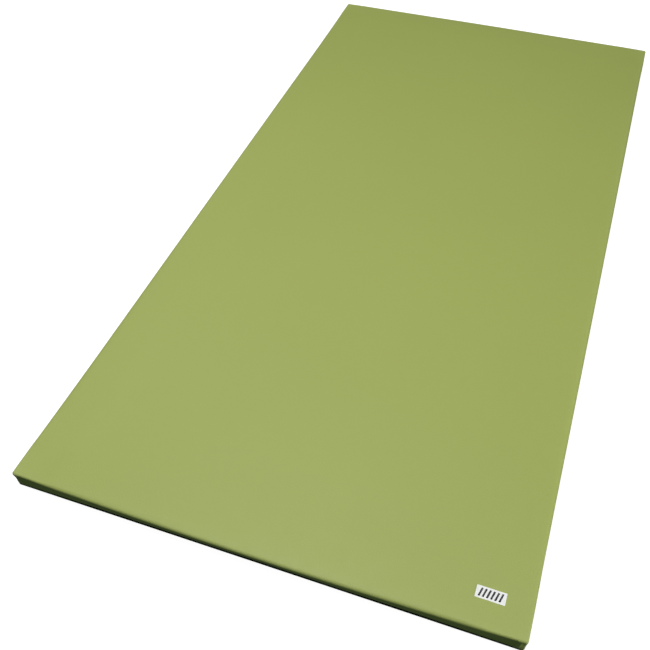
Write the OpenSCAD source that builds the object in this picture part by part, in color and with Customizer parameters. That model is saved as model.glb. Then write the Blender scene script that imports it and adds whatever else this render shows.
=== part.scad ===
// One-piece martial arts floor mat: a rebonded foam slab wrapped in vinyl, with
// reinforced corners, an anti-slip base and a small label near one corner.
// Millimetres, +Z up. The origin is the centre of the mat's underside, the length
// runs along Y, and the label is at the front right, near the +X -Y corner.

/* [Mat] */
// Length over the cover, along Y
mat_length = 2000; // [1000:10:2400]
// Width over the cover, along X
mat_width = 1000; // [600:10:1200]
// Height from the floor to the top of the cover
mat_height = 40; // [30:1:60]
// Radius of the four upright corners of the cover
corner_radius = 7; // [7:1:20]
// Radius of the edge around the top of the cover
edge_radius = 6; // [4:1:6]

/* [Cover] */
// Thickness of the vinyl sheet
cover_thickness = 0.8; // [0.6:0.1:1.2]
// Width of the margin that is turned under the core and glued
flap_width = 35; // [20:1:60]

/* [Corner reinforcement] */
// Thickness of the sheet inside each corner of the cover
guard_thickness = 1; // [0.6:0.1:1.5]
// Reach of each reinforcement from its corner
guard_reach = 70; // [40:1:120]

/* [Base] */
// Thickness of the anti-slip sheet
base_thickness = 2.5; // [1.5:0.1:4]
// Distance that the sheet's edge stays in from the sides of the cover
base_inset = 1; // [0.5:0.5:8]

/* [Label] */
// Length of the label, along X
label_length = 53; // [40:1:90]
// Width of the label, along Y
label_width = 23; // [15:1:40]
// Thickness of the label
label_thickness = 0.4; // [0.2:0.1:1]
// Radius of the label's corners
label_radius = 1; // [0.5:0.5:4]
// Distance from the label to the front and to the right side of the mat
label_margin = 50; // [20:1:120]
// Number of slanted bars in the label's plain mark
bar_count = 6; // [2:1:7]
// Width of one bar
bar_width = 3.5; // [2:0.5:4]
// Sideways lean of a bar from its foot to its top
bar_lean = 4; // [0:0.5:5]
// Thickness of the mark
mark_thickness = 0.1; // [0.1:0.05:0.3]

/* [Hidden] */
$fn = 48;

// The flat middle of the mat, inside its rounded sides and corners
half_x = mat_width / 2 - corner_radius;
half_y = mat_length / 2 - corner_radius;

// The space inside the cover
inner_floor = base_thickness + cover_thickness;
inner_height = mat_height - inner_floor - cover_thickness;
inner_corner = corner_radius - cover_thickness;
inner_edge = edge_radius - cover_thickness;

// The opening in the cover's underside, between the turned-under margins
opening_width = mat_width - 2 * flap_width;
opening_length = mat_length - 2 * flap_width;

// The base sheet
base_width = mat_width - 2 * base_inset;
base_length = mat_length - 2 * base_inset;
base_corner = corner_radius - base_inset / 2;

// The label's place, and the bars of its mark: the shares of the label that the
// mark takes, and the size and spacing of the bars
label_x = mat_width / 2 - label_margin - label_length / 2;
label_y = label_margin + label_width / 2 - mat_length / 2;
mark_height_share = 0.7;
mark_length_share = 0.82;
bar_height = mark_height_share * label_width;
bar_pitch = mark_length_share * label_length / bar_count;

// The cross-section of one side of a slab, from the middle part outwards, with
// the top of its outer wall rounded
module side_profile(depth, height, radius) {
    square([depth, height - radius]);
    square([depth - radius, height]);
    translate([depth - radius, height - radius])
        intersection() {
            circle(radius);
            square(radius);
        }
}

// The same side as a sheet of one thickness: an outer wall and a top
module sheet_profile(depth, height, radius, thickness) {
    difference() {
        side_profile(depth, height, radius);
        translate([0, -thickness])
            side_profile(depth - thickness, height, radius - thickness);
    }
}

// A flat-bottomed slab with round upright corners and a rounded top edge. Its
// corners turn on the same four axes at every size.
module slab(height, corner, edge) {
    translate([-half_x, -half_y, 0])
        cube([2 * half_x, 2 * half_y, height]);
    for (turn = [0, 180])
        rotate(turn) {
            translate([half_x, 0, 0])
                rotate([90, 0, 0])
                linear_extrude(2 * half_y, center = true)
                side_profile(corner, height, edge);
            translate([0, half_y, 0])
                rotate([90, 0, 90])
                linear_extrude(2 * half_x, center = true)
                side_profile(corner, height, edge);
            translate([half_x, half_y, 0])
                rotate_extrude(angle = 90)
                side_profile(corner, height, edge);
            translate([-half_x, half_y, 0])
                rotate(90)
                rotate_extrude(angle = 90)
                side_profile(corner, height, edge);
        }
}

// The space inside the cover, above its turned-under margins
module inner_space() {
    translate([0, 0, inner_floor])
        slab(inner_height, inner_corner, inner_edge);
}

// A flat plate with round corners
module rounded_plate(width, length, height, corner) {
    linear_extrude(height) {
        square([width - 2 * corner, length], center = true);
        square([width, length - 2 * corner], center = true);
        for (x = [-1, 1], y = [-1, 1])
            translate([x * (width / 2 - corner), y * (length / 2 - corner)])
                circle(corner);
    }
}

// The reinforcement inside one corner: two wall pieces and a top patch in one
// sheet. turn carries it from the rear right corner to the others.
module corner_guard(turn) {
    lengthwise = turn % 180 == 0;
    reach = guard_reach - cover_thickness - inner_corner;
    color([0.24, 0.25, 0.24])
        rotate(turn)
        translate([lengthwise ? half_x : half_y, lengthwise ? half_y : half_x, inner_floor]) {
            translate([-reach, -reach, inner_height - guard_thickness])
                cube([reach, reach, guard_thickness]);
            translate([0, -reach / 2, 0])
                rotate([90, 0, 0])
                linear_extrude(reach, center = true)
                sheet_profile(inner_corner, inner_height, inner_edge, guard_thickness);
            translate([-reach / 2, 0, 0])
                rotate([90, 0, 90])
                linear_extrude(reach, center = true)
                sheet_profile(inner_corner, inner_height, inner_edge, guard_thickness);
            rotate_extrude(angle = 90)
                sheet_profile(inner_corner, inner_height, inner_edge, guard_thickness);
        }
}

// The foam slab: cut back for the corner reinforcements, and full in the
// opening between the flaps, where it lies on the base sheet
module foam_core() {
    color([0.52, 0.50, 0.46])
        union() {
            difference() {
                inner_space();
                for (turn = [0 : 90 : 270])
                    corner_guard(turn);
            }
            translate([-opening_width / 2, -opening_length / 2, base_thickness])
                cube([opening_width, opening_length, 2 * cover_thickness]);
        }
}

// The vinyl: the top, the four sides and the margins turned under the core
module cover() {
    color([0.62, 0.66, 0.38])
        difference() {
            translate([0, 0, base_thickness])
                slab(mat_height - base_thickness, corner_radius, edge_radius);
            inner_space();
            translate([-opening_width / 2, -opening_length / 2, 0])
                cube([opening_width, opening_length, inner_floor + cover_thickness]);
        }
}

// The anti-slip sheet glued over the flaps and the foam
module base() {
    color([0.10, 0.10, 0.10])
        rounded_plate(base_width, base_length, base_thickness, base_corner);
}

// The white label welded to the top
module label_patch() {
    color([0.93, 0.93, 0.92])
        translate([label_x, label_y, mat_height])
            rounded_plate(label_length, label_width, label_thickness, label_radius);
}

// The plain mark on the label: a row of slanted bars
module label_mark() {
    foot = bar_width / 2;
    color([0.07, 0.07, 0.09])
        for (i = [0 : bar_count - 1])
            translate([
                label_x + (i - (bar_count - 1) / 2) * bar_pitch,
                label_y,
                mat_height + label_thickness
            ])
                linear_extrude(mark_thickness)
                polygon([
                    [-bar_lean / 2 - foot, -bar_height / 2],
                    [-bar_lean / 2 + foot, -bar_height / 2],
                    [bar_lean / 2 + foot, bar_height / 2],
                    [bar_lean / 2 - foot, bar_height / 2]
                ]);
}

foam_core();
cover();
base();
corner_guard(180);  // corner_guard_front_left
corner_guard(270);  // corner_guard_front_right
corner_guard(90);  // corner_guard_rear_left
corner_guard(0);  // corner_guard_rear_right
label_patch();
label_mark();
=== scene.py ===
"""A one-piece martial arts floor mat: a foam slab in a green vinyl cover, with
reinforced corners, an anti-slip base and a small label. Metres, in the frame of
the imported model."""

import math

import bmesh
import bpy
import numpy as np
from mathutils import Matrix, Vector
from mathutils.bvhtree import BVHTree


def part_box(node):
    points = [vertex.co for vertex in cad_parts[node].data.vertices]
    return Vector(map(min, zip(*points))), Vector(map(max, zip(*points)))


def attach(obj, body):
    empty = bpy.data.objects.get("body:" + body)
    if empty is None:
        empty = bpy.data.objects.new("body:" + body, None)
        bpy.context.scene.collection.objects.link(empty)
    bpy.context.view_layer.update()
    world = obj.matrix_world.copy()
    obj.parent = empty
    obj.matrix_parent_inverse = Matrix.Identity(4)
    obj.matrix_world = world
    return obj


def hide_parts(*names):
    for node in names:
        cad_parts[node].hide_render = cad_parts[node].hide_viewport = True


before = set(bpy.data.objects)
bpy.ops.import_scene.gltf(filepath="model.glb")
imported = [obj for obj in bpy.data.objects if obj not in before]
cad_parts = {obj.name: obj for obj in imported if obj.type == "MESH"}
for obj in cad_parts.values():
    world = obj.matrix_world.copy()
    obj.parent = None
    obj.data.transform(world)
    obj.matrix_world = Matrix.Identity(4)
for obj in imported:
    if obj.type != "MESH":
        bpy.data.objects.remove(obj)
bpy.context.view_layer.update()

MM = 0.001
GAP = 0.05 * MM                  # clearance between layers that touch

# The cover's box and its sheet
COVER_LOW, COVER_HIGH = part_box("cover")
HALF_X, HALF_Y = COVER_HIGH.x, COVER_HIGH.y
TOP, UNDER = COVER_HIGH.z, COVER_LOW.z
VINYL = 0.8 * MM
FLAP = 35 * MM                   # width of the margin turned under the foam
UNDER_RINGS = [FLAP, 27 * MM, 20 * MM, 14 * MM, 10 * MM]   # rings of points across it

# The upright corners
CORNER = 4.5 * MM                # radius at the top
CORNER_BELOW = 5.5 * MM          # and at the foot, where the folded vinyl is pulled in

# The top edge
EDGE_AT_CORNER = 4.2 * MM        # radius beside a corner
EDGE_AT_MIDDLE = 8 * MM          # and in the middle of a side
EDGE_SAG = 0.5 * MM              # how far it sinks in the middle of a side
SAG_REACH = 40 * MM              # how far in from the edge the sag carries
SOFT_REACH = 320 * MM            # how far from a corner the edge is fully soft

# The bulge of the walls, which is most at the top of each one's middle
END_BELLY = 10 * MM              # on an end
SIDE_BELLY = 1 * MM              # on a long side
BELLY_REACH = 120 * MM           # how far in from the edge it carries
BELLY_POWER = 1.2                # how late it grows up the height of the wall

# The foot of the walls: each measure at a corner, and the share it gains by mid-side
WALL_LEAN = 1.8 * MM             # how far the foot stands back
LEAN_GROWTH = 0.9
FOOT_RADIUS = 2.2 * MM           # radius of the wall's bottom edge
FOOT_GROWTH = 0.4

# The fold that sets an end wall back beside its corner
FOLD_DEPTH = 1.8 * MM
FOLD_REACH = 8 * MM              # how far along the wall it carries
FOLD_AT_FOOT = 0.25              # share of its depth at the foot of the wall
FOLD_OPENS = 2                   # how fast it deepens from there, per height of wall
FOLD_CLOSES = 2.5                # and how fast it ends below the top edge

# The layer of folded vinyl on an end wall
LAP = 18.0                       # where it ends, in millimetres from the corner
LAP_WITHIN = (LAP - 0.2) * MM    # points nearer to the corner than this are on it
LAP_HEIGHT = 0.8 * MM            # how far it stands proud
LAP_THINS = 0.5                  # share of that lost at the top of the wall
LAP_TURN = 1.4                   # how far it carries round the corner
LAP_FADE = 1.6                   # how soon it fades over the top edge
LAP_SLANT = 7 * MM               # how far its edge leans towards the corner
SLANT_FROM = 3 * MM              # how far from the corner the points start to lean
SLANT_RISE = 11 * MM             # over this much
SLANT_TO = 46 * MM               # where they stop leaning
SLANT_FALL = 22 * MM             # over this much
ON_ARC = 0.1 * MM                # points nearer to the corner than this are on its arc

# The mesh: the columns nearest a corner, which are finer, and the steps of its rings
COLUMNS = np.array([
    0, 1, 2.5, 4, 6, 8, 10.5, 13.5, LAP - 0.5, LAP, LAP + 0.5,
    24, 32, 42, 53, 64, 67, 80, 100, 124]) * MM
COLUMN_STEP = 24 * MM            # between the rest
ARC = 10                         # steps round an upright corner
FOOT_STEPS = 4
WALL_STEPS = 10
EDGE_STEPS = 10

# Faint waves in the sheet: share, rate along X, rate along Y, and phase
TOP_WAVE = 0.12 * MM
TOP_WAVES = [(0.45, 5.1, 2.3, 0.7), (0.30, -3.7, 6.1, 2.1), (0.25, 11.3, 4.9, 4.0)]
TOP_WAVE_FADE = 60 * MM          # how far in from the edge they reach full size
WALL_WAVE = 0.35 * MM
WALL_WAVES = [(1.0, 9.0, 9.0, 1.3), (0.6, 23.0, -23.0, 0.0)]

# The cloth simulation that lets the vinyl settle over the foam
CLOTH_FRAMES = 20
CLOTH_LIMIT = 0.8 * MM           # most that a point may move
CLOTH_SETTINGS = {
    "quality": 6,
    "mass": 0.25,
    "tension_stiffness": 30,
    "compression_stiffness": 30,
    "shear_stiffness": 12,
    "bending_stiffness": 2.0,
    "use_pressure": True,
    "uniform_pressure_force": 4.0,
    "pin_stiffness": 5,
}

# Where the vinyl is held during it
FREE_WITHIN = 45 * MM            # the sides and edges, free to settle
HELD_BEYOND = 190 * MM           # the flat middle, glued down
FOOT_HELD, FOOT_FADE = 7 * MM, 4 * MM       # top of the glued foot, and its fade
CORNER_HOLD = 0.75               # share of hold over the corner reinforcements
CORNER_HELD, CORNER_FADE = 30 * MM, 70 * MM # reach of that hold, and the fade past it

# The corner reinforcements
GUARD = 1.0 * MM                 # thickness
GUARD_REACH = 70 * MM
GUARD_FADE = 3 * MM              # over how much the foam comes back out past them


def smooth(x):
    x = np.clip(x, 0, 1)
    return x * x * (3 - 2 * x)


def waves(table, x, y):
    return sum(
        share * np.sin(rate_x * x + rate_y * y + phase)
        for share, rate_x, rate_y, phase in table)


# ---------------------------------------------------------------- mesh building

def columns(half, corner, near, step):
    """Places along a side, from one corner's arc to the other's, finer at both ends."""
    run = half - corner
    count = 2 * round((run - near[-1]) / step)
    middle = np.linspace(near[-1], 2 * run - near[-1], count + 1)[1:-1]
    return np.concatenate([near, middle, 2 * run - near[::-1]]) - run


class Skin:
    """A surface on a rounded rectangle: rings of points, with a grid inside. xs and ys
    are the places of the points along its straight sides."""

    def __init__(self, half_x, half_y, corner, xs, ys, arc):
        self.half_x, self.half_y, self.corner = half_x, half_y, corner
        self.xs, self.ys = xs, ys
        in_x, in_y = half_x - corner, half_y - corner
        sides = [
            (xs, (0, -1), in_x, -90),
            (ys, (1, 0), in_y, 0),
            (-xs, (0, 1), in_x, 90),
            (-ys, (-1, 0), in_y, 180),
        ]
        spots, outs, along = [], [], []
        self.starts = []
        for places, out, reach, angle in sides:
            self.starts.append(len(spots))
            for p in places:
                spots.append((
                    abs(out[1]) * p + out[0] * in_x,
                    abs(out[0]) * p + out[1] * in_y,
                ))
                outs.append(out)
                along.append(reach - abs(p))
            for k in range(1, arc):
                a = math.radians(angle + 90 * k / arc)
                spots.append(spots[-1])
                outs.append((math.cos(a), math.sin(a)))
                along.append(0.0)
        # Each point's place on the corners' centre lines, the way out from there, and
        # its distance along its side from the nearer corner's arc
        self.spots = np.round(np.array(spots), 9)
        self.outs = np.array(outs, float)
        self.along = np.maximum(np.array(along), 0)
        self.count = len(spots)
        self.verts, self.faces = [], []

    def at(self, off, z):
        """Points at distances off inside the outline and heights z."""
        off = np.broadcast_to(off, self.count)
        z = np.broadcast_to(z, self.count)
        plan = self.spots + self.outs * (self.corner - off)[:, None]
        return np.column_stack([plan, z])

    def inside(self, off, z):
        """A ring past the corners' centres, where each arc is one point."""
        scale = np.array([
            (self.half_x - off) / (self.half_x - self.corner),
            (self.half_y - off) / (self.half_y - self.corner),
        ])
        return np.column_stack([self.spots * scale, np.broadcast_to(z, self.count)])

    def ring(self, places, merged=False):
        """Adds a ring of points and returns their numbers. In a merged ring the points
        of each arc are one."""
        start = len(self.verts)
        if merged:
            first, back = np.unique(
                self.spots, axis=0, return_index=True, return_inverse=True)[1:]
            self.verts.extend(places[first])
            return start + back.ravel()
        self.verts.extend(places)
        return start + np.arange(self.count)

    def strip(self, lower, upper):
        """Joins two rings with faces. Where points are merged, they are triangles."""
        for i in range(self.count):
            j = (i + 1) % self.count
            face = list(dict.fromkeys([lower[i], lower[j], upper[j], upper[i]]))
            if len(face) > 2:
                self.faces.append([int(k) for k in face])

    def loft(self, rings):
        for lower, upper in zip(rings, rings[1:]):
            self.strip(lower, upper)

    def grid(self, ring, off, height, flip=False):
        """Fills a merged ring with a grid. height(x, y) gives its z."""
        nx, ny = len(self.xs), len(self.ys)
        ids = np.zeros((nx, ny), int)
        s = self.starts
        ids[:, 0] = ring[s[0]:s[0] + nx]
        ids[-1, :] = ring[s[1]:s[1] + ny]
        ids[::-1, -1] = ring[s[2]:s[2] + nx]
        ids[0, ::-1] = ring[s[3]:s[3] + ny]
        gx = self.xs * (self.half_x - off) / (self.half_x - self.corner)
        gy = self.ys * (self.half_y - off) / (self.half_y - self.corner)
        x, y = np.meshgrid(gx[1:-1], gy[1:-1], indexing="ij")
        start = len(self.verts)
        self.verts.extend(np.column_stack([x.ravel(), y.ravel(), height(x, y).ravel()]))
        ids[1:-1, 1:-1] = start + np.arange(x.size).reshape(x.shape)
        for i in range(nx - 1):
            for j in range(ny - 1):
                face = [ids[i, j], ids[i + 1, j], ids[i + 1, j + 1], ids[i, j + 1]]
                self.faces.append([int(k) for k in (face[::-1] if flip else face)])


def flat_at(z):
    """A height function for Skin.grid that is z everywhere."""
    return lambda x, y: np.full(x.shape, z)


def add_mesh(name, verts, faces):
    mesh = bpy.data.meshes.new(name)
    mesh.from_pydata([tuple(map(float, v)) for v in verts], [], faces)
    mesh.validate()
    mesh.update()
    mesh.polygons.foreach_set("use_smooth", [True] * len(mesh.polygons))
    piece = bpy.data.objects.new(name, mesh)
    bpy.context.scene.collection.objects.link(piece)
    return piece


def normals_of(verts, faces):
    """Unit normal at each point, weighted by the area of its faces."""
    total = np.zeros_like(verts)
    for size in (3, 4):
        group = np.array([f for f in faces if len(f) == size])
        if len(group):
            one = verts[group[:, size // 2]] - verts[group[:, 0]]
            other = verts[group[:, -1]] - verts[group[:, size - 3]]
            cross = np.cross(one, other)
            for k in range(size):
                np.add.at(total, group[:, k], cross)
    return total / np.maximum(np.linalg.norm(total, axis=1), 1e-12)[:, None]


def shell(name, verts, normals, faces, outer, inner):
    """A closed sheet between two depths under a surface."""
    used = sorted({k for f in faces for k in f})
    index = {k: i for i, k in enumerate(used)}
    n = len(used)
    places = np.concatenate([
        verts[used] - outer * normals[used],
        verts[used] - inner * normals[used],
    ])
    upper = [[index[k] for k in f] for f in faces]
    lower = [[k + n for k in f[::-1]] for f in upper]
    edges = [(a, b) for f in upper for a, b in zip(f, f[1:] + f[:1])]
    known = set(edges)
    rim = [[b, a, a + n, b + n] for a, b in edges if (b, a) not in known]
    return add_mesh(name, places, upper + lower + rim)


# ------------------------------------------------------------------ the cover

def softness(along):
    """0 beside a corner, where the vinyl is doubled and stiff, and 1 far from it."""
    return smooth(along / SOFT_REACH)


def edge_radius(along):
    return EDGE_AT_CORNER + (EDGE_AT_MIDDLE - EDGE_AT_CORNER) * softness(along)


def edge_drop(off, along):
    """How far the top is below its flat middle, at a distance from one side."""
    radius = edge_radius(along)
    short = np.clip(radius - off, 0, radius)
    rounding = radius - np.sqrt(radius ** 2 - short ** 2)
    return rounding + EDGE_SAG * softness(along) * np.exp(-off / SAG_REACH)


def top_height(x, y):
    """Height of the cover's top surface."""
    from_side = HALF_X - np.abs(x)
    from_end = HALF_Y - np.abs(y)
    drop = edge_drop(from_side, np.maximum(from_end - CORNER, 0))
    drop = drop + edge_drop(from_end, np.maximum(from_side - CORNER, 0))
    ripple = TOP_WAVE * waves(TOP_WAVES, x, y)
    return TOP - drop + ripple * smooth(np.minimum(from_side, from_end) / TOP_WAVE_FADE)


def bellied(verts):
    """Moves points with the bulge of the walls: none at the foot, most at the top."""
    verts = np.array(verts, float)
    x, y, z = verts.T
    lift = np.clip((z - UNDER) / (TOP - UNDER), 0, 1) ** BELLY_POWER
    end = END_BELLY * (1 - (x / HALF_X) ** 2) * np.exp(-(HALF_Y - np.abs(y)) / BELLY_REACH)
    side = SIDE_BELLY * (1 - (y / HALF_Y) ** 2) * np.exp(-(HALF_X - np.abs(x)) / BELLY_REACH)
    return np.column_stack([
        x + np.sign(x) * lift * np.maximum(side, 0),
        y + np.sign(y) * lift * np.maximum(end, 0),
        z,
    ])


def rounded(places, off, radius):
    """Brings the points near an upright corner in onto a larger radius."""
    centre = np.array([HALF_X, HALF_Y]) - radius
    past = np.abs(places[:, :2]) - centre
    near = (past > 0).all(1)
    reach = np.maximum(np.linalg.norm(past, axis=1), 1e-9)
    spot = centre + past * ((radius - off) / reach)[:, None]
    result = places.copy()
    result[near, :2] = (np.sign(places[:, :2]) * spot)[near]
    return result


def cover_skin():
    """The cover's outer surface: the turned-under margin, the foot of the walls, the
    walls, the top edge and the top. Returns it and its rings, from below upwards."""
    xs = columns(HALF_X, CORNER, COLUMNS, COLUMN_STEP)
    ys = columns(HALF_Y, CORNER, COLUMNS, COLUMN_STEP)
    skin = Skin(HALF_X, HALF_Y, CORNER, xs, ys, ARC)
    along = skin.along
    soft = softness(along)
    radius = edge_radius(along)
    foot = FOOT_RADIUS * (1 + FOOT_GROWTH * soft)
    lean = WALL_LEAN * (1 + LEAN_GROWTH * soft)
    low_z = UNDER + foot
    high_z = TOP - EDGE_SAG * soft - radius

    # The fold moves points along Y. The folded layer and its slant are on the ends.
    ends = np.abs(skin.outs[:, 1]) == 1
    fold = FOLD_DEPTH * np.clip(1 - along / FOLD_REACH, 0, 1) * np.sign(skin.spots[:, 1])
    lap = LAP_HEIGHT * np.where(
        along > ON_ARC,
        ends * (along < LAP_WITHIN) * 1.0,
        smooth(skin.outs[:, 1] ** 2 * LAP_TURN),
    )
    slant = smooth((along - SLANT_FROM) / SLANT_RISE) * smooth((SLANT_TO - along) / SLANT_FALL)
    slant = slant * ends
    toward = np.column_stack([np.sign(skin.spots[:, 0]) * LAP_SLANT, np.zeros(skin.count)])
    sway = WALL_WAVE * waves(WALL_WAVES, *skin.spots.T) * soft

    rings = [skin.ring(skin.inside(off, UNDER), merged=True) for off in UNDER_RINGS]
    for k in range(FOOT_STEPS):
        a = math.pi / 2 * k / FOOT_STEPS
        off = lean + foot * (1 - math.sin(a))
        places = rounded(skin.at(off, UNDER + foot * (1 - math.cos(a))), off, CORNER_BELOW)
        places[:, 1] -= FOLD_AT_FOOT * fold
        rings.append(skin.ring(places))
    for k in range(WALL_STEPS + 1):
        t = k / WALL_STEPS
        off = lean * (1 - t) ** 2 - sway * math.sin(math.pi * t) - lap * (1 - LAP_THINS * t)
        places = skin.at(off, low_z + (high_z - low_z) * t)
        places[:, :2] += toward * (slant * t)[:, None]
        places = rounded(places, off, CORNER_BELOW + (CORNER - CORNER_BELOW) * t)
        places[:, 1] -= fold * min(FOLD_AT_FOOT + FOLD_OPENS * t, FOLD_CLOSES * (1 - t), 1)
        rings.append(skin.ring(places))

    # The top edge: its arc, and then the flat as far as the corners' centres
    turn = np.arccos(np.clip(1 - CORNER / radius, 0, 1))
    bend, flat = radius * turn, np.maximum(CORNER - radius, 0)
    for k in range(1, EDGE_STEPS + 1):
        gone = (bend + flat) * k / EDGE_STEPS
        a = np.minimum(gone / radius, turn)
        off = radius * (1 - np.cos(a)) + np.maximum(gone - bend, 0)
        fade = max(0.0, 1 - LAP_FADE * k / EDGE_STEPS)
        z = TOP - edge_drop(off, along)
        places = skin.at(np.minimum(off, CORNER) - (1 - LAP_THINS) * lap * fade, z)
        places[:, :2] += toward * (slant * fade)[:, None]
        rings.append(skin.ring(places, merged=k == EDGE_STEPS))
    skin.loft(rings)
    skin.grid(rings[-1], CORNER, top_height)
    return skin, rings


def settled(verts, faces, held):
    """The surface after a short cloth simulation under a light pressure. held is
    each point's hold, from 0, free, to 1, fixed."""
    trial = add_mesh("settling", verts, faces)
    group = trial.vertex_groups.new(name="held")
    levels = np.round(held, 2)
    for level in np.unique(levels):
        group.add([int(k) for k in np.flatnonzero(levels == level)], float(level), "REPLACE")
    cloth = trial.modifiers.new("cloth", "CLOTH")
    for name, value in CLOTH_SETTINGS.items():
        setattr(cloth.settings, name, value)
    cloth.settings.effector_weights.gravity = 0
    cloth.settings.vertex_group_mass = group.name
    cloth.collision_settings.use_collision = False
    cloth.point_cache.frame_start = 1
    cloth.point_cache.frame_end = CLOTH_FRAMES
    for moment in range(1, CLOTH_FRAMES + 1):
        bpy.context.scene.frame_set(moment)
    result = trial.evaluated_get(bpy.context.evaluated_depsgraph_get()).to_mesh()
    places = np.empty(len(verts) * 3)
    result.vertices.foreach_get("co", places)
    bpy.data.objects.remove(trial)
    bpy.context.scene.frame_set(1)
    move = places.reshape(-1, 3) - verts
    length = np.maximum(np.linalg.norm(move, axis=1), 1e-9)
    return verts + move * (CLOTH_LIMIT * np.tanh(length / CLOTH_LIMIT) / length)[:, None]


def hold(verts):
    """Where the vinyl is glued: under the mat, at the foot and over the flat middle."""
    from_side = HALF_X - np.abs(verts[:, 0])
    from_end = HALF_Y - np.abs(verts[:, 1])
    inward = np.minimum(from_side, from_end) - FREE_WITHIN
    middle = smooth(inward / (HELD_BEYOND - FREE_WITHIN))
    foot = smooth((UNDER + FOOT_HELD - verts[:, 2]) / FOOT_FADE)
    away = np.maximum(from_side, from_end) - CORNER_HELD
    corner = CORNER_HOLD * (1 - smooth(away / CORNER_FADE))
    return np.maximum(np.maximum(middle, foot), corner)


skin, cover_rings = cover_skin()
SHEET = bellied(skin.verts)
SHEET = settled(SHEET, skin.faces, hold(SHEET))
NORMALS = normals_of(SHEET, skin.faces)
cover = shell("mat_cover", SHEET, NORMALS, skin.faces, 0.0, VINYL)


# ------------------------------------------------- the foam and its corners

FOAM_STEP = 0.5 * MM             # how far in from the margin the foam's step down is


def corner_share(verts):
    """1 inside the corner reinforcements' reach, 0 past it."""
    away = np.maximum(HALF_X - np.abs(verts[:, 0]), HALF_Y - np.abs(verts[:, 1]))
    return 1 - smooth((away - GUARD_REACH) / GUARD_FADE)


under_cover = VINYL + GAP
on_wall_or_top = np.ones(len(SHEET))
on_wall_or_top[:cover_rings[len(UNDER_RINGS)].min()] = 0
deep = under_cover + (GUARD + GAP) * corner_share(SHEET) * on_wall_or_top
foam_skin = Skin(HALF_X, HALF_Y, CORNER, skin.xs, skin.ys, ARC)
foam_skin.verts = list(SHEET - deep[:, None] * NORMALS)
foam_skin.faces = [list(f) for f in skin.faces]
step_in, step_down = FLAP + FOAM_STEP, FLAP + 2 * FOAM_STEP
shelf = foam_skin.ring(foam_skin.inside(step_in, UNDER + under_cover), merged=True)
sole = foam_skin.ring(foam_skin.inside(step_down, UNDER + GAP), merged=True)
foam_skin.loft([sole, shelf, cover_rings[0]])
foam_skin.grid(sole, step_down, flat_at(UNDER + GAP), flip=True)
foam = add_mesh("mat_foam", foam_skin.verts, foam_skin.faces)

guards = {}
upper_faces = [f for f in skin.faces if on_wall_or_top[f].all()]
centres = np.array([SHEET[f].mean(0) for f in upper_faces])
near_side = HALF_X - np.abs(centres[:, 0]) < GUARD_REACH
near_end = HALF_Y - np.abs(centres[:, 1]) < GUARD_REACH
for end, y_sign in (("front", -1), ("rear", 1)):
    for side, x_sign in (("left", -1), ("right", 1)):
        here = (centres[:, 0] * x_sign > 0) & (centres[:, 1] * y_sign > 0)
        chosen = [f for f, wanted in zip(upper_faces, near_side & near_end & here) if wanted]
        guards[f"{end}_{side}"] = shell(
            f"mat_guard_{end}_{side}", SHEET, NORMALS, chosen, under_cover, under_cover + GUARD)


# ---------------------------------------------------------------- the base sheet

BASE_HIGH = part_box("base")[1]
BASE_CORNER = 6.5 * MM
PADS_X, PADS_Y = 30, 60          # square pads of the relief across and along the sheet
BORDER = 9 * MM                  # plain margin around them
GROOVE_DEPTH = 0.8 * MM
GROOVE = 1.6 * MM                # half the width of a groove's floor
GROOVE_FLANK = 2.6 * MM          # and of its mouth
LINE_CLEARANCE = 0.1 * MM        # least distance of a groove's line from the corner's

base_half_x, base_half_y = BASE_HIGH.x, BASE_HIGH.y
base_top = BASE_HIGH.z - GAP

# Distances in from the sheet's side, and heights, up its edge, in millimetres
BASE_EDGE = [(0.6, 0.0), (0.15, 0.2), (0.0, 0.6), (0.0, 1.8), (0.1, 2.3), (0.4, base_top / MM)]


def pad_lines(half, pads):
    """The middles of the grooves, and the lines of the relief: four to each groove,
    and one at each end."""
    first = half - BORDER
    grooves = np.linspace(-first, first, pads + 1)
    offsets = np.array([-GROOVE_FLANK, -GROOVE, GROOVE, GROOVE_FLANK])
    lines = (grooves[:, None] + offsets).ravel()
    end = half - BASE_CORNER
    return grooves, np.concatenate([[-end], lines[np.abs(lines) < end - LINE_CLEARANCE], [end]])


def in_groove(place, grooves):
    """1 on the floor of a groove, 0 past its flanks."""
    distance = np.abs(place[..., None] - grooves).min(-1)
    return 1 - np.clip((distance - GROOVE) / (GROOVE_FLANK - GROOVE), 0, 1)


def relief(x, y):
    """Height of the underside: grooves between square pads."""
    in_x = np.abs(x) < base_half_x - BORDER + GROOVE
    in_y = np.abs(y) < base_half_y - BORDER + GROOVE
    depth = np.maximum(in_groove(x, grooves_x), in_groove(y, grooves_y))
    return GROOVE_DEPTH * (in_x & in_y) * depth


grooves_x, base_xs = pad_lines(base_half_x, PADS_X)
grooves_y, base_ys = pad_lines(base_half_y, PADS_Y)
rubber = Skin(base_half_x, base_half_y, BASE_CORNER, base_xs, base_ys, ARC)
base_rings = [rubber.ring(rubber.at(BASE_CORNER, 0.0), merged=True)]
base_rings += [rubber.ring(rubber.at(off * MM, z * MM)) for off, z in BASE_EDGE]
base_rings.append(rubber.ring(rubber.at(BASE_CORNER, base_top), merged=True))
rubber.loft(base_rings)
rubber.grid(base_rings[0], BASE_CORNER, relief, flip=True)
rubber.grid(base_rings[-1], BASE_CORNER, flat_at(base_top))
base = add_mesh("mat_base", rubber.verts, rubber.faces)


# ---------------------------------------------------------------- the label

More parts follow.
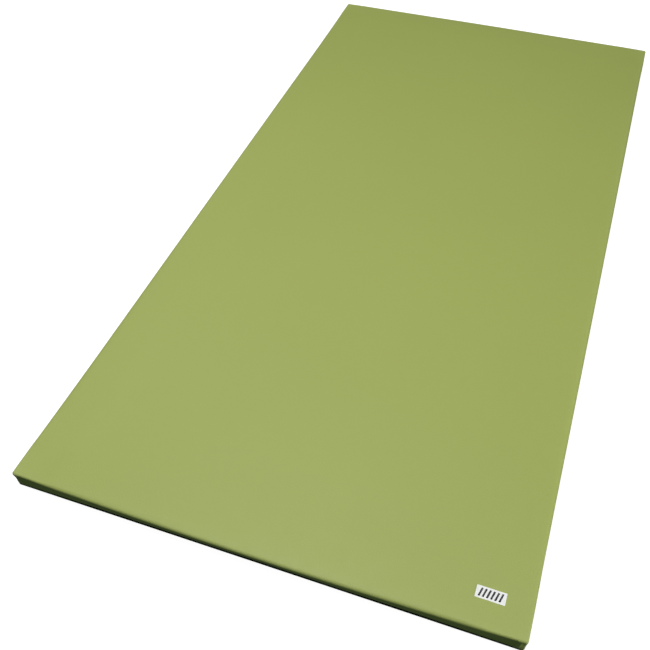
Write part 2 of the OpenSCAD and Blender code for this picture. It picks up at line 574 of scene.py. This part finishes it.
LABEL_LOW, LABEL_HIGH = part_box("label_patch")
label_x, label_y = (LABEL_LOW.x + LABEL_HIGH.x) / 2, (LABEL_LOW.y + LABEL_HIGH.y) / 2
label_half_x = (LABEL_HIGH.x - LABEL_LOW.x) / 2
label_half_y = (LABEL_HIGH.y - LABEL_LOW.y) / 2
LABEL = LABEL_HIGH.z - LABEL_LOW.z
LABEL_CORNER = 1 * MM
LABEL_COLUMNS = np.array([0, 0.3, 0.55, 0.8, 1.0, 1.2, 1.45, 1.7, 2.4]) * MM
LABEL_STEP = 2.5 * MM
LABEL_ARC = 6

# Distances in from the label's side, in millimetres, and shares of its thickness
LABEL_EDGE = [(0.0, 0.1), (0.0, 0.55), (0.06, 0.85), (0.2, 1.0)]

# The line of its weld
WELD_AT, WELD_WIDE, WELD_DEEP = 2.0 * MM, 0.45 * MM, 0.12 * MM


def label_height(x, y):
    """Height of the label's top, with the line of its weld near its edge."""
    edge = np.minimum(label_half_x - np.abs(x), label_half_y - np.abs(y))
    return LABEL - WELD_DEEP * np.exp(-((edge - WELD_AT) / WELD_WIDE) ** 2)


patch = Skin(
    label_half_x, label_half_y, LABEL_CORNER,
    columns(label_half_x, LABEL_CORNER, LABEL_COLUMNS, LABEL_STEP),
    columns(label_half_y, LABEL_CORNER, LABEL_COLUMNS, LABEL_STEP), LABEL_ARC)
label_rings = [patch.ring(patch.at(LABEL_CORNER, GAP), merged=True)]
label_rings += [patch.ring(patch.at(off * MM, share * LABEL)) for off, share in LABEL_EDGE]
label_rings.append(patch.ring(patch.at(LABEL_CORNER, LABEL), merged=True))
patch.loft(label_rings)
patch.grid(label_rings[0], LABEL_CORNER, flat_at(GAP), flip=True)
patch.grid(label_rings[-1], LABEL_CORNER, label_height)

cover_surface = BVHTree.FromPolygons([tuple(v) for v in SHEET], skin.faces)
ABOVE = 1.0                      # a height clear of the mat
DOWN = Vector((0, 0, -1))


def on_cover(verts):
    """Carries points from the label's own flat place onto the cover."""
    places = []
    for x, y, z in verts:
        x, y = x + label_x, y + label_y
        hit = cover_surface.ray_cast(Vector((x, y, ABOVE)), DOWN)[0]
        places.append((x, y, hit.z + z))
    return places


label = add_mesh("mat_label", on_cover(patch.verts), patch.faces)

# The mark: slanted bars, each lofted along its length from one cross-section
MARK_LOW, MARK_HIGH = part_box("label_mark")
BARS, BAR_WIDTH, BAR_LEAN = 6, 3.5 * MM, 4 * MM
BAR_BEVEL = 0.05 * MM
SLICES = 8
SECTION = [(-1, 0.0), (-1, 0.6), (-1, 1.0), (1, 1.0), (1, 0.6), (1, 0.0)]   # side and rise
MARK = MARK_HIGH.z - MARK_LOW.z
mark_half = (MARK_HIGH.y - MARK_LOW.y) / 2
bar_pitch = (MARK_HIGH.x - MARK_LOW.x - BAR_WIDTH - BAR_LEAN) / (BARS - 1)
size = len(SECTION)
mark_verts, mark_faces = [], []
for bar in range(BARS):
    middle = (bar - (BARS - 1) / 2) * bar_pitch
    start = len(mark_verts)
    for k in range(SLICES + 1):
        t = 2 * k / SLICES - 1
        y, x = t * mark_half, middle + t * BAR_LEAN / 2
        for across, rise in SECTION:
            bevel = BAR_BEVEL if rise == 1.0 else 0.0
            pinch = bevel if k in (0, SLICES) else 0.0
            mark_verts.append((
                x + across * (BAR_WIDTH / 2 - bevel),
                y - math.copysign(pinch, t),
                LABEL + rise * MARK,
            ))
    for k in range(SLICES):
        a, b = start + size * k, start + size * (k + 1)
        for c in range(size):
            d = (c + 1) % size
            mark_faces.append([a + c, b + c, b + d, a + d])
    mark_faces.append([start + c for c in range(size)])
    mark_faces.append([start + size * SLICES + c for c in reversed(range(size))])
mark = add_mesh("mat_mark", on_cover(mark_verts), mark_faces)

SHARP_ANGLE = math.radians(38)
for piece in (cover, foam, base, label, mark, *guards.values()):
    solid = bmesh.new()
    solid.from_mesh(piece.data)
    bmesh.ops.recalc_face_normals(solid, faces=solid.faces)
    solid.to_mesh(piece.data)
    solid.free()
    piece.data.set_sharp_from_angle(angle=SHARP_ANGLE)


# -------------------------------------------------------------------- materials

class Finish:
    """A material and short ways to add its nodes. Colours are linear, and a value is
    a number, a colour or another node's output."""

    SOCKETS = {
        "colour": "Base Color",
        "rough": "Roughness",
        "normal": "Normal",
        "specular": "Specular IOR Level",
        "glow_colour": "Emission Color",
        "glow": "Emission Strength",
    }

    def __init__(self, name):
        self.material = bpy.data.materials.new(name)
        self.material.use_nodes = True
        self.tree = self.material.node_tree
        self.shader = self.tree.nodes["Principled BSDF"]
        self.place = self.add("ShaderNodeTexCoord").outputs["Object"]

    def add(self, kind, **settings):
        made = self.tree.nodes.new(kind)
        for key, value in settings.items():
            setattr(made, key, value)
        return made

    def feed(self, socket, value):
        """Gives a socket a value, or joins another node's output to it."""
        if hasattr(value, "is_linked"):
            self.tree.links.new(value, socket)
        elif isinstance(value, tuple) and len(value) == 3:
            socket.default_value = (*value, 1)
        else:
            socket.default_value = value

    def noise(self, scale, detail, roughness=0.5):
        """Noise with about scale lumps to the metre."""
        made = self.add("ShaderNodeTexNoise")
        made.inputs["Scale"].default_value = scale
        made.inputs["Detail"].default_value = detail
        made.inputs["Roughness"].default_value = roughness
        self.feed(made.inputs["Vector"], self.place)
        return made.outputs["Fac"]

    def cells(self, scale, feature="F1", place=None):
        """A cell pattern with about scale cells to the metre."""
        made = self.add("ShaderNodeTexVoronoi", feature=feature)
        made.inputs["Scale"].default_value = scale
        self.feed(made.inputs["Vector"], place or self.place)
        return made

    def ramp(self, source, stops):
        made = self.add("ShaderNodeValToRGB")
        bar = made.color_ramp
        while len(bar.elements) < len(stops):
            bar.elements.new(0.5)
        for element, (at, colour) in zip(bar.elements, stops):
            element.position = at
            element.color = (*colour, 1)
        self.feed(made.inputs["Fac"], source)
        return made.outputs["Color"]

    def math(self, kind, a, b):
        made = self.add("ShaderNodeMath", operation=kind)
        self.feed(made.inputs[0], a)
        self.feed(made.inputs[1], b)
        return made.outputs["Value"]

    def blend(self, share, a, b):
        """A mix of two colours. Its sockets go by number: their names aren't unique."""
        made = self.add("ShaderNodeMix", data_type="RGBA")
        for index, value in ((0, share), (6, a), (7, b)):
            self.feed(made.inputs[index], value)
        return made.outputs[2]

    def span(self, source, low, high):
        """Stretches a value between 0 and 1 to lie between low and high."""
        made = self.add("ShaderNodeMapRange")
        made.inputs["To Min"].default_value = low
        made.inputs["To Max"].default_value = high
        self.feed(made.inputs["Value"], source)
        return made.outputs["Result"]

    def bump(self, height, distance, strength, under=None):
        """A normal for heights of up to a distance, on top of another if one is given."""
        made = self.add("ShaderNodeBump")
        made.inputs["Distance"].default_value = distance
        made.inputs["Strength"].default_value = strength
        self.feed(made.inputs["Height"], height)
        if under is not None:
            self.feed(made.inputs["Normal"], under)
        return made.outputs["Normal"]

    def set(self, **values):
        for key, value in values.items():
            self.feed(self.shader.inputs[self.SOCKETS[key]], value)
        return self.material


def vinyl_finish():
    """Satin green vinyl: a pebbled grain, faint clouding, and rubbed edges."""
    f = Finish("green_vinyl")
    broad = f.noise(2.2, 2.0, 0.45)
    cloud = f.noise(38.0, 4.0, 0.6)
    grain = f.cells(620.0).outputs["Distance"]
    fine = f.noise(1500.0, 2.0)
    scuff = f.noise(95.0, 6.0, 0.65)
    worn = f.add("ShaderNodeAttribute", attribute_name="wear").outputs["Fac"]
    colour = f.ramp(broad, [(0.30, (0.330, 0.378, 0.097)), (0.70, (0.338, 0.386, 0.100))])
    colour = f.blend(f.span(cloud, 0.0, 0.10), colour, (0.375, 0.430, 0.135))
    colour = f.blend(f.span(grain, 0.10, 0.0), colour, (0.215, 0.270, 0.055))
    rubbed = f.math("MULTIPLY", worn, f.span(scuff, 0.0, 0.42))
    colour = f.blend(rubbed, colour, (0.445, 0.495, 0.230))
    rough = f.math("ADD", f.span(cloud, 0.46, 0.58), f.math("MULTIPLY", worn, 0.07))
    normal = f.bump(grain, 0.35 * MM, 0.45)
    normal = f.bump(fine, 0.1 * MM, 0.4, normal)
    normal = f.bump(f.noise(26.0, 3.0), 0.6 * MM, 0.12, normal)
    return f.set(colour=colour, rough=rough, normal=normal, specular=0.3)


def foam_finish():
    """Rebonded foam: pressed crumbs of several colours, with open pores whose darkness is painted
    shade.
    """
    f = Finish("rebonded_foam")
    wobble = f.add("ShaderNodeVectorMath", operation="ADD")
    shift = f.add("ShaderNodeTexNoise")
    shift.inputs["Scale"].default_value = 60.0
    f.feed(shift.inputs["Vector"], f.place)
    small = f.add("ShaderNodeVectorMath", operation="SCALE")
    small.inputs["Scale"].default_value = 12 * MM
    f.feed(small.inputs[0], shift.outputs["Color"])
    f.feed(wobble.inputs[0], f.place)
    f.feed(wobble.inputs[1], small.outputs["Vector"])
    crumbs = f.cells(115.0, place=wobble.outputs["Vector"])
    pick = f.add("ShaderNodeSeparateColor")
    f.feed(pick.inputs["Color"], crumbs.outputs["Color"])
    colour = f.ramp(pick.outputs["Red"], [
        (0.00, (0.10, 0.11, 0.13)), (0.25, (0.55, 0.52, 0.40)), (0.45, (0.16, 0.24, 0.36)),
        (0.62, (0.62, 0.60, 0.55)), (0.80, (0.42, 0.20, 0.16)), (1.00, (0.30, 0.34, 0.22))])
    pore_relief_and_shade = f.noise(900.0, 4.0, 0.7)
    # Painted shade: darkened towards black where the pores are, standing in for the shade inside
    # the open pores
    colour = f.blend(f.span(pore_relief_and_shade, 0.0, 0.35), colour, (0.05, 0.05, 0.05))
    normal = f.bump(crumbs.outputs["Distance"], 1.2 * MM, 0.8)
    normal = f.bump(pore_relief_and_shade, 0.3 * MM, 0.7, normal)
    return f.set(colour=colour, rough=f.span(pore_relief_and_shade, 0.88, 1.0), normal=normal, specular=0.2)


def rubber_and_foot_shade_finish():
    """Black anti-slip rubber: fine dimples and a little dust, in tones darker than the rubber's
    own. That extra darkness is painted shade, so that the sheet's edge also stands for the shadow
    line at the foot of the mat.
    """
    f = Finish("anti_slip_rubber_and_foot_shade")
    broad = f.noise(6.0, 4.0, 0.55)
    dust = f.noise(260.0, 5.0, 0.65)
    dimples = f.cells(520.0, "SMOOTH_F1").outputs["Distance"]
    # Painted shade: these tones are darker than real rubber, so the sheet's edge also stands in
    # for the shadow line along the mat's foot
    colour = f.ramp(broad, [(0.3, (0.010, 0.010, 0.0105)), (0.7, (0.017, 0.017, 0.0165))])
    colour = f.blend(f.span(dust, 0.0, 0.14), colour, (0.050, 0.048, 0.044))
    normal = f.bump(dimples, 0.3 * MM, 0.6)
    normal = f.bump(dust, 0.08 * MM, 0.5, normal)
    return f.set(colour=colour, rough=f.span(dust, 0.70, 0.92), normal=normal, specular=0.2)


def guard_finish():
    """Dark reinforcing sheet: vinyl on a woven backing."""
    f = Finish("reinforcing_sheet")
    threads = []
    for direction in ("X", "Y"):
        wave = f.add("ShaderNodeTexWave", bands_direction=direction)
        wave.inputs["Scale"].default_value = 320.0
        wave.inputs["Distortion"].default_value = 0.6
        f.feed(wave.inputs["Vector"], f.place)
        threads.append(wave.outputs["Fac"])
    weave = f.math("MULTIPLY", *threads)
    fluff = f.noise(300.0, 4.0, 0.6)
    colour = f.ramp(weave, [(0.0, (0.028, 0.028, 0.030)), (1.0, (0.075, 0.074, 0.071))])
    colour = f.blend(f.span(fluff, 0.0, 0.3), colour, (0.10, 0.10, 0.095))
    rough = f.span(fluff, 0.55, 0.78)
    return f.set(colour=colour, rough=rough, normal=f.bump(weave, 0.2 * MM, 0.6), specular=0.35)


def label_finish():
    """White label vinyl, smoother than the cover."""
    f = Finish("label_white_vinyl")
    cloud = f.noise(120.0, 4.0, 0.55)
    speck = f.noise(2600.0, 2.0)
    colour = f.ramp(cloud, [(0.3, (0.79, 0.79, 0.78)), (0.7, (0.85, 0.85, 0.845))])
    colour = f.blend(f.span(speck, 0.0, 0.10), colour, (0.66, 0.66, 0.64))
    rough = f.span(cloud, 0.34, 0.46)
    return f.set(colour=colour, rough=rough, normal=f.bump(speck, 0.03 * MM, 0.5), specular=0.45)


def ink_finish():
    """Dark printed ink, a little patchy."""
    f = Finish("label_ink")
    patchy = f.noise(900.0, 4.0, 0.6)
    colour = f.ramp(patchy, [(0.3, (0.007, 0.006, 0.014)), (0.75, (0.020, 0.018, 0.030))])
    rough = f.span(patchy, 0.38, 0.55)
    return f.set(colour=colour, rough=rough, normal=f.bump(patchy, 0.02 * MM, 0.5), specular=0.45)


# The wear on the cover: how strong each kind is, and how far it reaches
EDGE_WEAR, EDGE_WEAR_REACH = 0.55, 9 * MM
CORNER_WEAR, CORNER_WEAR_REACH = 0.6, 16 * MM
WALL_WEAR_FROM = WALL_WEAR_REACH = 6 * MM   # below the top, where it starts to fade


def wear_mask(piece):
    """How much each point of the cover is rubbed: most on its top edge and corners."""
    verts = np.array([v.co for v in piece.data.vertices])
    side = HALF_X - np.abs(verts[:, 0])
    end = HALF_Y - np.abs(verts[:, 1])
    below = np.maximum(TOP - verts[:, 2] - WALL_WEAR_FROM, 0)
    near_edge = np.exp(-np.minimum(side, end) / EDGE_WEAR_REACH) * np.exp(-below / WALL_WEAR_REACH)
    at_corner = np.exp(-np.hypot(side, end) / CORNER_WEAR_REACH)
    wear = np.clip(EDGE_WEAR * near_edge + CORNER_WEAR * at_corner, 0, 1)
    mask = piece.data.attributes.new("wear", "FLOAT", "POINT")
    mask.data.foreach_set("value", wear.astype(np.float32))


def dress(piece, material, slot_name, *nodes):
    """Gives a piece its material, hangs it on the root body and hides the parts that it stands
    for. Its slot_name is not used.
    """
    piece.data.materials.clear()
    piece.data.materials.append(material)
    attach(piece, "root")
    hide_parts(*nodes)


wear_mask(cover)
dress(cover, vinyl_finish(), "vinyl", "cover")
dress(foam, foam_finish(), "foam", "foam_core")
dress(base, rubber_and_foot_shade_finish(), "base_rubber", "base")
guard_material = guard_finish()
for place, guard in guards.items():
    dress(guard, guard_material, "guard_sheet", f"corner_guard_{place}")
dress(label, label_finish(), "label_white", "label_patch")
dress(mark, ink_finish(), "label_ink", "label_mark")


# ------------------------------------------------------------ stage and camera

STAGE_RADIUS, STAGE_SIDES = 30.0, 96
FLOOR_GLOW, FLOOR_GREY = 0.96, 0.30
BACKDROP_GLOW = 0.98

# Shares of the stage's radius, and heights, up the backdrop
BACKDROP_LEVELS = [(1.0, 0.0), (0.98, 5.0), (0.85, 16.0), (0.5, 26.0), (0.05, 30.0)]

# The dim light from all round
ROOM_COLOUR, ROOM_STRENGTH = (0.74, 1.0, 0.78), 0.10

# Lamps: the place, the point that it faces, its width and depth, and its watts
LAMPS = {
    "softbox_overhead": ((-0.42, -0.45, 4.2), (-0.42, -0.45, 0.0), (0.9, 0.9), 144.5),
    "softbox_behind": ((-3.4, 3.2, 5.5), (-0.2, 0.0, 0.0), (1.6, 1.6), 62),
    "softbox_right": ((3.4, -0.97, 0.48), (0.5, -0.97, 0.0), (0.3, 0.5), 52),
}

# The camera: its place, its angles in degrees, and its lens
CAMERA_PLACE = (0.3778, -1.5639, TOP + 1.3151)
AZIMUTH, ELEVATION, ROLL = 19.976, 49.376, -0.756
SENSOR, LENS = 36.0, 44.29
SHIFT = (-0.02, 0.04)


def stage_mesh(name, verts, faces, glow, grey):
    """A pale piece of the stage, partly lit and partly its own light, so that shadows
    stay soft. It adds no light to the object."""
    piece = add_mesh(name, verts, faces)
    f = Finish(f"{name}_white")
    piece.data.materials.append(f.set(
        colour=(grey, grey, grey), rough=1.0, specular=0.0, glow_colour=(1, 1, 1), glow=glow))
    for ray in ("visible_diffuse", "visible_glossy", "visible_transmission",
                "visible_volume_scatter", "visible_shadow"):
        setattr(piece, ray, False)


angles = np.linspace(0, 2 * math.pi, STAGE_SIDES, endpoint=False)
circle = [(STAGE_RADIUS * math.cos(a), STAGE_RADIUS * math.sin(a)) for a in angles]
stage_mesh(
    "floor", [(x, y, 0.0) for x, y in circle], [list(range(STAGE_SIDES))],
    FLOOR_GLOW, FLOOR_GREY)
wall_faces = []
for k in range(len(BACKDROP_LEVELS) - 1):
    for i in range(STAGE_SIDES):
        a, b = k * STAGE_SIDES + i, k * STAGE_SIDES + (i + 1) % STAGE_SIDES
        wall_faces.append([a, b, b + STAGE_SIDES, a + STAGE_SIDES])
stage_mesh(
    "backdrop", [(x * share, y * share, z) for share, z in BACKDROP_LEVELS for x, y in circle],
    wall_faces, BACKDROP_GLOW, 0.0)

world = bpy.data.worlds.new("soft_room")
bpy.context.scene.world = world
world.use_nodes = True
room = world.node_tree.nodes["Background"]
room.inputs["Color"].default_value = (*ROOM_COLOUR, 1)
room.inputs["Strength"].default_value = ROOM_STRENGTH

for name, (place, target, size, watts) in LAMPS.items():
    lamp = bpy.data.lights.new(name, "AREA")
    lamp.shape, lamp.energy = "RECTANGLE", watts
    lamp.size, lamp.size_y = size
    holder = bpy.data.objects.new(name, lamp)
    holder.location = place
    holder.rotation_mode = "QUATERNION"
    holder.rotation_quaternion = (Vector(target) - Vector(place)).to_track_quat("-Z", "Y")
    bpy.context.scene.collection.objects.link(holder)

camera_data = bpy.data.cameras.new("camera")
camera = bpy.data.objects.new("camera", camera_data)
bpy.context.scene.collection.objects.link(camera)
bpy.context.scene.camera = camera
camera_data.sensor_width = SENSOR
camera_data.lens = LENS
camera_data.shift_x, camera_data.shift_y = SHIFT
azimuth, elevation, roll = (math.radians(d) for d in (AZIMUTH, ELEVATION, ROLL))
ahead = Vector((
    -math.sin(azimuth) * math.cos(elevation),
    math.cos(azimuth) * math.cos(elevation),
    -math.sin(elevation),
))
right = ahead.cross(Vector((0, 0, 1))).normalized()
down = ahead.cross(right)
turned_right = math.cos(roll) * right - math.sin(roll) * down
turned_down = math.sin(roll) * right + math.cos(roll) * down
camera.matrix_world = Matrix.Translation(CAMERA_PLACE) @ Matrix(
    (turned_right, -turned_down, -ahead)).transposed().to_4x4()

bpy.context.scene.view_settings.view_transform = "Standard"
bpy.context.scene.view_settings.look = "None"
